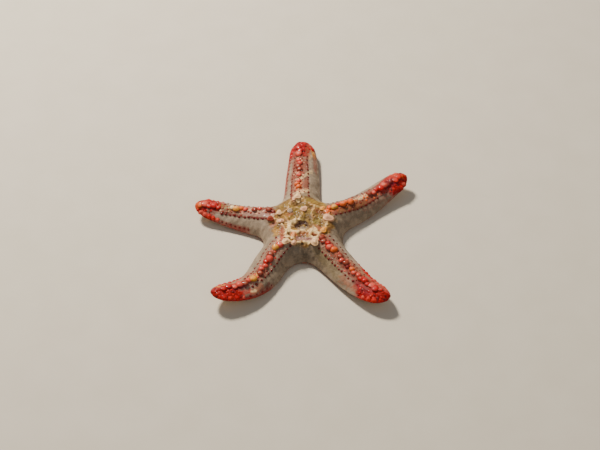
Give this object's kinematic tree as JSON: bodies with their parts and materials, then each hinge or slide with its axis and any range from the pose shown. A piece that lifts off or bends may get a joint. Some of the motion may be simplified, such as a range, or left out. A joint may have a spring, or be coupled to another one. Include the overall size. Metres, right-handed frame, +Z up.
{
  "type": "red-knobbed starfish",
  "caption": "Life-size still sea star: a raised disc and tapering arms, grey skin with red and orange knobs along each ridge, and solid red raised tips.",
  "frame": {"origin": "on the floor, under the middle of the whole star's box", "axes": "+Z up out of the back; +Y towards the far arm, arm_1; +X to the right; arms numbered clockwise from above"},
  "size_m": [0.1988, 0.2004, 0.0232],
  "materials": {
    "skin": "wet grey-brown skin with fine grain and rows of dark red pores",
    "red_skin": "wet bright red skin packed with rounded knobs",
    "knobs": "glossy red and orange knobs, worn to cream on the disc",
    "sieve_plate": "chalky pale plate with fine furrows",
    "soft_parts": "soft, translucent pale tube feet and mouth skin"
  },
  "bodies": {
    "root": {"disc": "skin", "madreporite": "sieve_plate", "mouth": "soft_parts", "arm_1": "skin", "arm_2": "skin", "arm_3": "skin", "arm_4": "skin", "arm_5": "skin", "arm_tip_1": "red_skin", "arm_tip_2": "red_skin", "arm_tip_3": "red_skin", "arm_tip_4": "red_skin", "arm_tip_5": "red_skin"}
  },
  "joints": []
}
